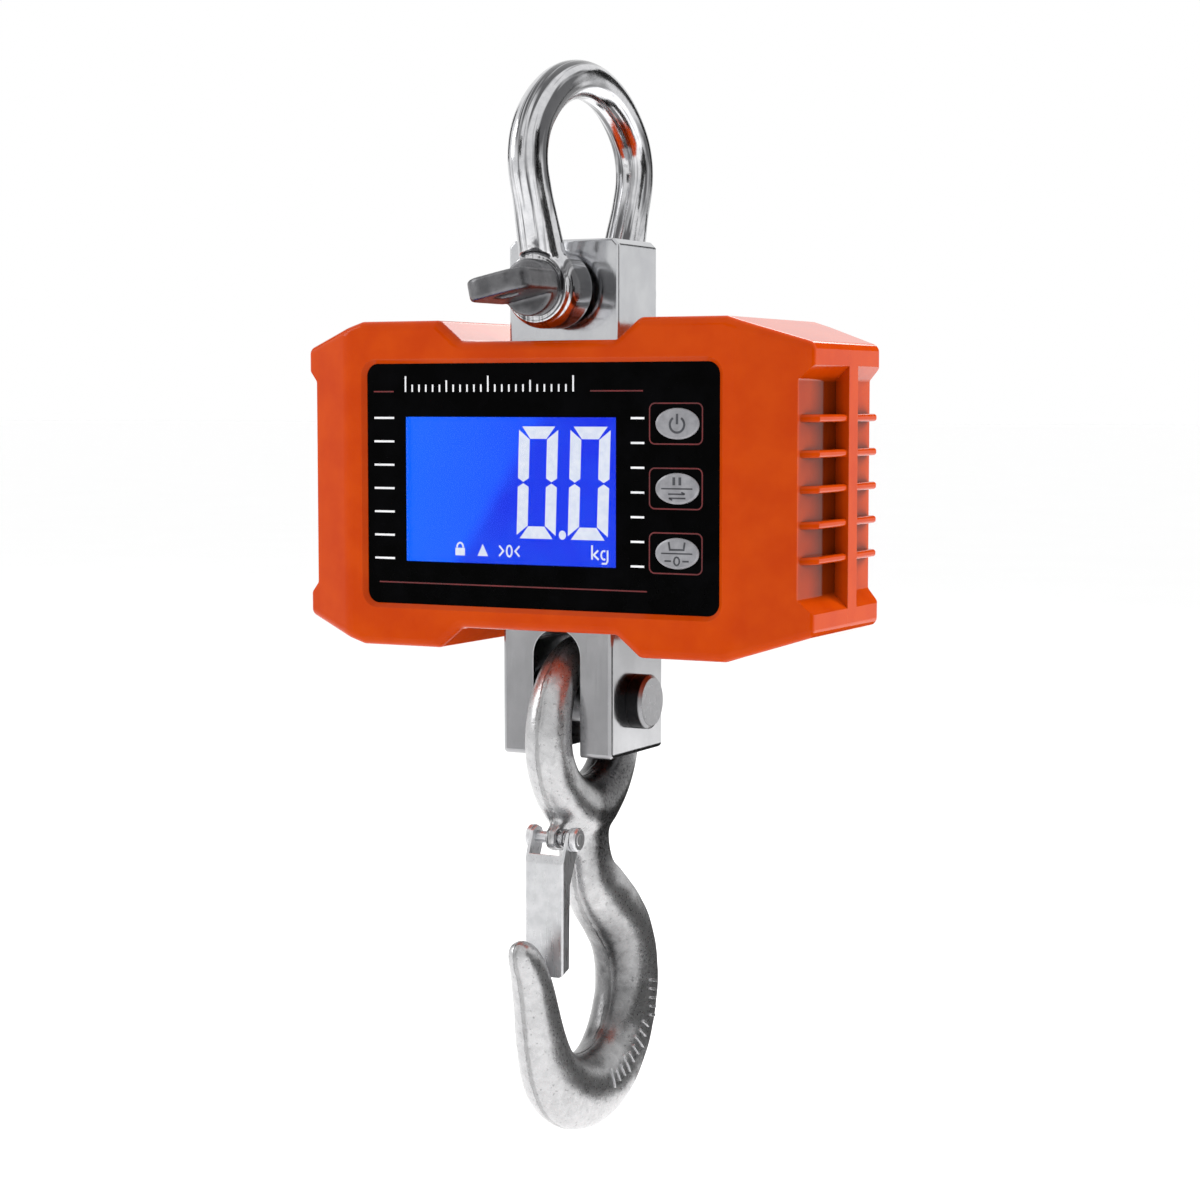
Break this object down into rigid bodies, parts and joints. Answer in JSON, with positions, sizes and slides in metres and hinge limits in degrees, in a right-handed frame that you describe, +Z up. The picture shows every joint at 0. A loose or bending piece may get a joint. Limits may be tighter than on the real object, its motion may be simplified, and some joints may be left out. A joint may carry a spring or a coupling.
{
  "type": "crane scale",
  "caption": "Hanging crane scale: finned orange housing with a blue display and oval keys, around a square load cell with a bow shackle on top and an eye hook with a safety latch below.",
  "frame": {"origin": "inside top of the shackle bow, where the scale hangs; the load line is the Z axis", "axes": "+Z up along the load line, -Y out of the display, +X to the right of the display seen from the front"},
  "size_m": [0.186, 0.1073, 0.3597],
  "materials": {
    "polished_steel": "polished stainless steel",
    "pin_steel": "satin grey steel",
    "cell_metal": "fine satin, nickel plated",
    "orange_coat": "satin orange powder coat on cast alloy",
    "black_panel": "high gloss black with printed marks",
    "clear_lens": "clear polished",
    "lcd_glass": "liquid crystal cell",
    "backlight": "blue lit light guide",
    "black_plastic": "moulded",
    "board_green": "solder resist",
    "black_rubber": "moulded rubber",
    "forged_steel": "forged, galvanised, slightly rough",
    "plated_steel": "zinc plated sheet",
    "spring_steel": "bright wire",
    "screw_steel": "plated",
    "battery_jacket": "plain printed jacket",
    "button_silver": "silver, slightly domed",
    "white_potting": "silicone filling",
    "gauge_foil": "foil on film"
  },
  "bodies": {
    "shackle": {"shackle_bow": "polished_steel", "shackle_pin": "pin_steel"},
    "scale": {"battery_1": "battery_jacket", "battery_2": "battery_jacket", "battery_3": "battery_jacket", "battery_contact_left": "plated_steel", "battery_contact_right": "plated_steel", "battery_door": "orange_coat", "block_seal_bottom": "black_rubber", "block_seal_top": "black_rubber", "board_screw_1": "screw_steel", "board_screw_2": "screw_steel", "board_screw_3": "screw_steel", "board_screw_4": "screw_steel", "cell_screw_left": "screw_steel", "cell_screw_right": "screw_steel", "control_panel": "black_panel", "display_window": "clear_lens", "door_gasket": "black_rubber", "door_screw_left": "screw_steel", "door_screw_right": "screw_steel", "front_shell": "orange_coat", "gauge_potting_front": "white_potting", "gauge_potting_rear": "white_potting", "hook_pin": "pin_steel", "lcd_backlight": "backlight", "lcd_cell": "lcd_glass", "lcd_frame": "black_plastic", "load_cell": "cell_metal", "main_board": "board_green", "pin_retainer": "spring_steel", "rear_shell": "orange_coat", "shell_gasket_left": "black_rubber", "shell_gasket_right": "black_rubber", "shell_screw_1": "screw_steel", "shell_screw_2": "screw_steel", "shell_screw_3": "screw_steel", "shell_screw_4": "screw_steel", "strain_gauge_front": "gauge_foil", "strain_gauge_rear": "gauge_foil", "switch_hold": "black_plastic", "switch_power": "black_plastic", "switch_tare": "black_plastic"},
    "hook": {"hook": "forged_steel", "latch_pin": "plated_steel", "latch_spring": "spring_steel"},
    "latch": {"safety_latch": "plated_steel"},
    "power_key": {"button_power": "button_silver"},
    "hold_key": {"button_hold": "button_silver"},
    "tare_key": {"button_tare": "button_silver"}
  },
  "joints": [
    {"name": "shackle_swing", "type": "hinge", "parent": "shackle", "child": "scale", "pos_m": [0, 0, -0.0629], "axis": [0, 1, 0], "range_deg": [-88, 88]},
    {"name": "hook_swing", "type": "hinge", "parent": "scale", "child": "hook", "pos_m": [0, 0, -0.1987], "axis": [1, 0, 0], "range_deg": [-36, 36]},
    {"name": "latch_hinge", "type": "hinge", "parent": "hook", "child": "latch", "pos_m": [0, -0.0205, -0.2432], "axis": [1, 0, 0], "range_deg": [0, 28], "stiffness_Nm_per_rad": 0.12, "springref_deg": -45.84, "deforming": ["latch_spring"]},
    {"name": "power_press", "type": "slide", "parent": "scale", "child": "power_key", "axis": [0, 1, 0], "range_m": [0, 0.0005], "stiffness_N_per_m": 600, "springref_m": -0.001},
    {"name": "hold_press", "type": "slide", "parent": "scale", "child": "hold_key", "axis": [0, 1, 0], "range_m": [0, 0.0005], "stiffness_N_per_m": 600, "springref_m": -0.001},
    {"name": "tare_press", "type": "slide", "parent": "scale", "child": "tare_key", "axis": [0, 1, 0], "range_m": [0, 0.0005], "stiffness_N_per_m": 600, "springref_m": -0.001}
  ]
}
